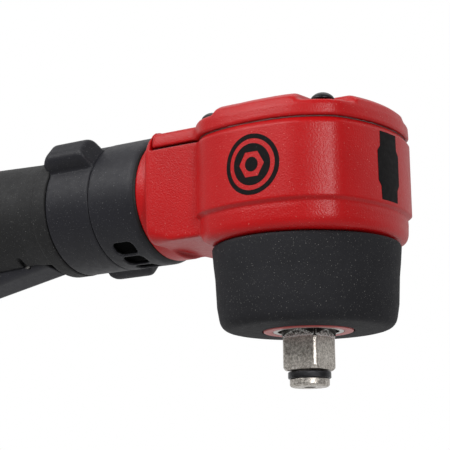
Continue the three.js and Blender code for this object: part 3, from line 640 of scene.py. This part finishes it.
# ---- cover screws -------------------------------------------------------------------------------
def screw_field(x, y, z):
    h = z - SCREW_SEAT
    r = np.hypot(x, y)
    dome = np.sqrt(x * x + y * y + (h + 2.0) ** 2) - 4.5
    head = every([r - 3.8, -h, dome], 0.5)
    socket = np.abs(x)
    for a in (60, 120):
        c, s = math.cos(math.radians(a)), math.sin(math.radians(a))
        socket = np.maximum(socket, np.abs(x * c + y * s))
    head = most(head, -most(socket - 1.3, 0.9 - h), 0.15)
    return np.minimum(head, every([r - 1.95, 74 - z, h - 0.5], 0.3))


screw_points, screw_faces = surface(
    screw_field, levels(-4.2, 4.2, 0.24), levels(-4.2, 4.2, 0.24), levels(73.6, 88.6, 0.5, (85.2, 88.6, 0.2)))
for number, (sx, sy) in enumerate(SCREW_PLACES, 1):
    lift = REAR_SCREW_LIFT if sx < 0 else FRONT_SCREW_LIFT
    mesh_piece(
        f"dome_screw_{number}", screw_points + [sx, sy, lift], screw_faces,
        "housing", OXIDE, "black_oxide", [f"cover_screw_{number}"],
    )


# ---- nose: clutch housing, bushing and boot -----------------------------------------------------
# the nose ring wears the lightened red paint, a painted reflection
mesh_piece("nose_ring", *turned(rounded([
    (11.42, 17.5, 0.25), (14.3, 17.5, 0.3), (14.3, 19.2, 0), (24.3, 19.2, 1), (26.3, 22.6, 1),
    (26.3, 50.5, 0.3), (24.3, 50.5, 0.3), (24.3, 24.2, 0.6), (11.42, 24.2, 0.3),
])), "housing", NOSE_PAINT_WITH_REFLECTION, "red_paint", ["clutch_housing"])
mesh_piece("nose_bushing", *turned(rounded([
    (8.95, 20.5, 0.3), (9.8, 20.3, 0.2), (9.8, 17.5, 0.2), (11.3, 17.5, 0.3), (11.3, 24.2, 0.3),
    (8.95, 24.2, 0.3),
])), "housing", BEARING, "bearing_steel", ["anvil_bushing"])
mesh_piece("boot", *turned(rounded([
    (14.7, 17.7, 0.35), (27.7, 18.1, 5.6), (28.95, 25.5, 3), (29.4, 34.5, 6), (29.9, 39.0, 4),
    (30.3, 43.9, 0.6), (29.9, 44.7, 0.5), (26.6, 44.7, 0.3), (26.6, 22.5, 0.6), (24.4, 18.9, 0.5),
    (14.7, 18.9, 0.2),
], 8), 200), "housing", BOOT, "boot_rubber", ["nose_boot"])


# ---- anvil --------------------------------------------------------------------------------------
ANVIL_R = soft_curve([
    (-1.0, 5.5), (0.0, 5.7), (0.6, 6.3), (2.5, 6.3), (2.55, 4.9), (5.25, 4.9), (5.3, 7.6), (6.1, 8.35),
    (15.2, 8.35), (16.6, 8.6), (24.5, 8.6), (24.6, 13.0), (27.5, 13.0), (27.7, 8.0), (47.2, 8.0),
    (47.3, 6.0), (49.4, 6.0),
], 0.12)
ARCH_CENTRE, ARCH_R = 9.7, 8.3
JAWS = ((1, 31.45, 38.85), (-1, 39.75, 47.15))


def anvil_field(x, y, z):
    r = np.hypot(x, y)
    out = every([(r - ANVIL_R(z)) * 0.8, -z, z - 49.3], 0.3)
    for along, across in ((x, y), (y, x)):
        flat = 6.35 - np.abs(along)
        arch = np.hypot(across, np.maximum(z - ARCH_CENTRE, 0)) - ARCH_R
        arch = np.where(z < ARCH_CENTRE, -8.0, arch)
        run = most(arch, 5.2 - z)
        out = most(out, -most(flat, run), 0.12)
    for side, low, high in JAWS:
        jaw = every([r - 11.5, np.abs(x) - 4.5, 5 - y * side, low - z, z - high], 0.5)
        out = np.minimum(out, jaw)
    hole = most(np.hypot(x, y) - 1.75, z - 7.2)
    return most(out, -hole, 0.3)


mesh_piece(
    "anvil_forging",
    *surface(anvil_field, levels(-13.6, 13.6, 0.34), levels(-13.6, 13.6, 0.34),
             levels(-0.6, 50.2, 0.6, (-0.6, 20, 0.25))),
    "anvil", ANVIL_STEEL, "anvil_steel", ["anvil"],
)


def split_ring(r_in, r_out, low, high, gap_at, gap, corner):
    """A ring of rounded section with a gap in it."""
    corners = ((r_in, low), (r_out, low), (r_out, high), (r_in, high))
    section = rounded([(r, h, corner) for r, h in corners], 4)
    half = math.degrees(gap / r_out / 2)
    angles = np.radians(np.linspace(gap_at + half, gap_at + 360 - half, 121))
    n = len(section)
    points = np.array([[r * math.cos(a), r * math.sin(a), h] for a in angles for r, h in section])
    faces = [
        [k * n + j, (k + 1) * n + j, (k + 1) * n + (j + 1) % n, k * n + (j + 1) % n]
        for k in range(len(angles) - 1) for j in range(n)
    ]
    last = (len(angles) - 1) * n
    return points, faces + [list(range(n)), [last + j for j in range(n)][::-1]]


mesh_piece("socket_retainer", *split_ring(5.85, 6.85, 2.65, 4.85, 140, 1.0, 0.7),
           "anvil", RETAINER, "black_oxide", ["friction_ring"])


# ---- exhaust and regulator rings ----------------------------------------------------------------
def exhaust_field(x, y, z):
    r = np.hypot(y, z - AXIS_Z)
    taper = (r - RING_A[2] + (x + 55.3) * 0.58) * 0.86
    out = every([r - RING_A[2], RING_A[0] - x, x - RING_A[1], taper], 0.5)
    bore = np.minimum(r - 19.3, every([r - 20.4, -71 - x, x + 58]))
    out = most(out, -bore, 0.3)
    for angle in EXHAUST_ANGLES:
        across, up = turn_about_x(y, z, angle)
        slot = np.hypot(np.maximum(np.abs(x - EXHAUST_X) - 2.2, 0), np.maximum(np.abs(across) - 0.8, 0)) - 2.1
        out = most(out, -most(slot, 10 - up), 0.4)
    return out


mesh_piece(
    "exhaust_deflector",
    *surface(exhaust_field, levels(-73.7, -52.7, 0.5), levels(-23.3, 23.3, 0.5), levels(44.7, 91.3, 0.5)),
    "housing", VENTED_SHADED, "composite", ["exhaust_ring"],
)


TAB_HALF, TAB_TOP = 5.0, 28.0


def tab_field(x, across, up):
    """A thumb tab: sloping ends, and chamfers along both of its long edges."""
    wide = np.abs(across) - TAB_HALF
    top = up - TAB_TOP
    front = (x + 73.7) * 0.94 + (up - 22.8) * 0.34
    rear = (-92.9 - x) * 0.87 + (up - 25.4) * 0.5
    chamfer = (wide + top + 1.5) * SQ
    tab = every([wide, top, front, most(rear, -93.3 - x), chamfer], 1.5)
    return most(most(tab, np.minimum(-91.9 - x, 22.5 - up), 0.3), 18 - up)


def regulator_field(x, y, z):
    r = np.hypot(y, z - AXIS_Z)
    out = every([r - RING_B[2], RING_B[0] - x, x - RING_B[1]], 0.7)
    for angle in TAB_ANGLES:
        out = least(out, most(tab_field(x, *turn_about_x(y, z, angle)), 20.5 - r), 0.9)
    return most(out, -(r - 19.5), 0.3)


mesh_piece(
    "regulator_dial",
    *surface(regulator_field, levels(-94.3, -72.5, 0.5), levels(-25.3, 25.3, 0.5), levels(42.7, 93.3, 0.5)),
    "selector", COMPOSITE, "composite", ["regulator_ring"],
)


# ---- grip ---------------------------------------------------------------------------------------
SLEEVE_R = soft_curve([
    (-218.0, 21.7), (-212, 22.2), (-195, 21.2), (-150, 21.4), (-126, 20.5), (-107, 19.75), (-99.3, 20.5),
    (-98.0, 22.0), (-92.4, 22.0),
], 0.5)
LEVER_ROOM = soft_curve([
    (-177, 47.3), (-124, 53.2), (-117, 54.2), (-107, 54.2), (-104, 52.8), (-99.5, 49),
], 1.0)


def sleeve_field(x, y, z):
    r = np.hypot(y, z - AXIS_Z)
    out = every([(r - SLEEVE_R(x)) * 0.95, x + 92.4, SLEEVE_REAR_X - x], 0.6)
    bore = np.minimum(r - 16.8, most(r - 19.5, -98.6 - x))
    out = most(out, -bore, 0.3)
    room = every([np.abs(y) - 8.35, z - LEVER_ROOM(x), x + 99.4, -176.4 - x], 0.6)
    out = most(out, -room, 0.5)
    access = every([np.abs(x + 112.5) - 1.05, np.abs(z - 51.1) - 1.25, 7.5 - np.abs(y)], 0.9)
    return most(out, -access, 0.3)


mesh_piece(
    "grip_moulding",
    *surface(sleeve_field, levels(-218.8, -91.8, 1.1, (-128, -91.8, 0.6)), levels(-23.4, 23.4, 0.6),
             levels(44.6, 91.4, 0.6)),
    "housing", GRIP, "grip_rubber", ["grip_sleeve"],
)
mesh_piece("rear_cap", *turned(rounded([
    (9.6, -218.3, 0), (20.6, -218.3, 0.4), (20.6, -221.2, 1.2), (19.0, -222.8, 1.2), (9.6, -222.8, 0.3),
]), along_x=True), "housing", COMPOSITE, "composite", ["end_cap"])


# ---- throttle lever -----------------------------------------------------------------------------
LEVER_TOP = soft_curve([(-204, 33), (-202, 32.5), (-160, 42.2), (-123, 51.2), (-116, 53.1), (-108, 53.1),
                        (-104.6, 51), (-101.5, 47.2), (-100.0, 45.5)], 0.8)


def lever_field(x, y, z):
    drop = LEVER_NOSE[1] - (LEVER_NOSE[0] - x) * LEVER_SLOPE
    low = (drop + 0.357 * np.abs(y) - z) * 0.94
    shoulder = (drop + 2.5 + 1.7 * (np.abs(y) - 7.0) - z) * 0.5
    low = most(low, shoulder, 0.5)
    out = every([low, (z - LEVER_TOP(x)) * 0.7, np.abs(y) - 8, x - LEVER_NOSE[0], LEVER_REAR_X - x], 0.6)
    channel = every([np.abs(y) - 4.3, drop + 2.5 - z, x + 106.8, -178 - x])
    pin = np.hypot(x + 112, z - 50.4) - 1.52
    return most(out, -np.minimum(channel, pin), 0.25)


mesh_piece(
    "lever_moulding",
    *surface(lever_field, levels(-204.8, -99.8, 0.6), levels(-10.1, 10.1, 0.5), levels(25.6, 54, 0.5)),
    "lever", LEVER_MAT, "composite", ["throttle_lever"],
)


# ---- camera, lights and studio ------------------------------------------------------------------
CAMERA_AT = (0.28102, -0.44546, -0.05061)
AZIMUTH, ELEVATION, ROLL = (math.radians(v) for v in (35.08, -11.09, -0.81))
AMBIENT, BACKDROP, GROUND = 0.24, 0.66, 0.6
BACKDROP_WAY = (-0.57, 0.82, 0.0)


def aim(back_azimuth, elevation, roll=0.0):
    """Right, up and back axes of something that looks along minus back."""
    a, e = back_azimuth, elevation
    back = np.array([math.sin(a) * math.cos(e), -math.cos(a) * math.cos(e), math.sin(e)])
    right = np.array([math.cos(a), math.sin(a), 0.0])
    up = np.cross(back, right)
    c, s = math.cos(roll), math.sin(roll)
    return c * right + s * up, -s * right + c * up, back


def placed(obj, at, axes):
    right, up, back = axes
    obj.matrix_world = Matrix([[right[i], up[i], back[i], at[i]] for i in range(3)] + [[0, 0, 0, 1]])
    bpy.context.scene.collection.objects.link(obj)
    return obj


camera_data = bpy.data.cameras.new("camera")
camera_data.sensor_width = 36
camera_data.lens = 133.59
camera_data.clip_start, camera_data.clip_end = 0.01, 50
camera = placed(bpy.data.objects.new("camera", camera_data), CAMERA_AT, aim(AZIMUTH, ELEVATION, ROLL))
bpy.context.scene.camera = camera


def softbox(name, azimuth, elevation, distance, size, power, target=(-0.02, 0, 0.06)):
    data = bpy.data.lights.new(name, "AREA")
    data.shape = "RECTANGLE"
    data.size, data.size_y = size
    data.energy = power
    axes = aim(math.radians(azimuth), math.radians(elevation))
    at = np.array(target) + axes[2] * distance
    return placed(bpy.data.objects.new(name, data), at, axes)


# azimuth and elevation, distance and size in metres, power in watts
softbox("key", -20, 38, 0.9, (0.9, 0.6), 6.3)
softbox("corner", 53, 12, 0.9, (0.16, 0.36), 2.9)
softbox("nose", 130, 30, 0.9, (0.6, 0.6), 0.6)
softbox("top", 200, 70, 0.9, (0.9, 0.6), 1.2)

world = bpy.data.worlds.new("studio")
world.use_nodes = True
bpy.context.scene.world = world
sky = world.node_tree
background = sky.nodes["Background"]
background.inputs["Color"].default_value = (1, 1, 1, 1)


def sky_level(source, from_range, to_range):
    made = node(sky, "ShaderNodeMapRange", interpolation_type="SMOOTHSTEP")
    sky.links.new(source, made.inputs["Value"])
    for place, value in zip(("From Min", "From Max", "To Min", "To Max"), (*from_range, *to_range)):
        if isinstance(value, bpy.types.NodeSocket):
            sky.links.new(value, made.inputs[place])
        else:
            made.inputs[place].default_value = value
    return made.outputs["Result"]


# the studio is dim on the side the lights stand on, and brighter behind and below the object
direction = node(sky, "ShaderNodeTexCoord").outputs["Generated"]


def share_of(way):
    """How far a direction points along the way."""
    made = node(sky, "ShaderNodeVectorMath", operation="DOT_PRODUCT")
    made.inputs[1].default_value = way
    sky.links.new(direction, made.inputs[0])
    return made.outputs["Value"]


ambient = sky_level(share_of(BACKDROP_WAY), (-0.2, 0.8), (AMBIENT, BACKDROP))
ambient = sky_level(share_of((0, 0, -1)), (0.2, 0.9), (ambient, GROUND))
shown = sky_level(node(sky, "ShaderNodeLightPath").outputs["Is Camera Ray"], (0, 1), (ambient, 1.0))
sky.links.new(shown, background.inputs["Strength"])
bpy.context.scene.view_settings.view_transform = "Standard"
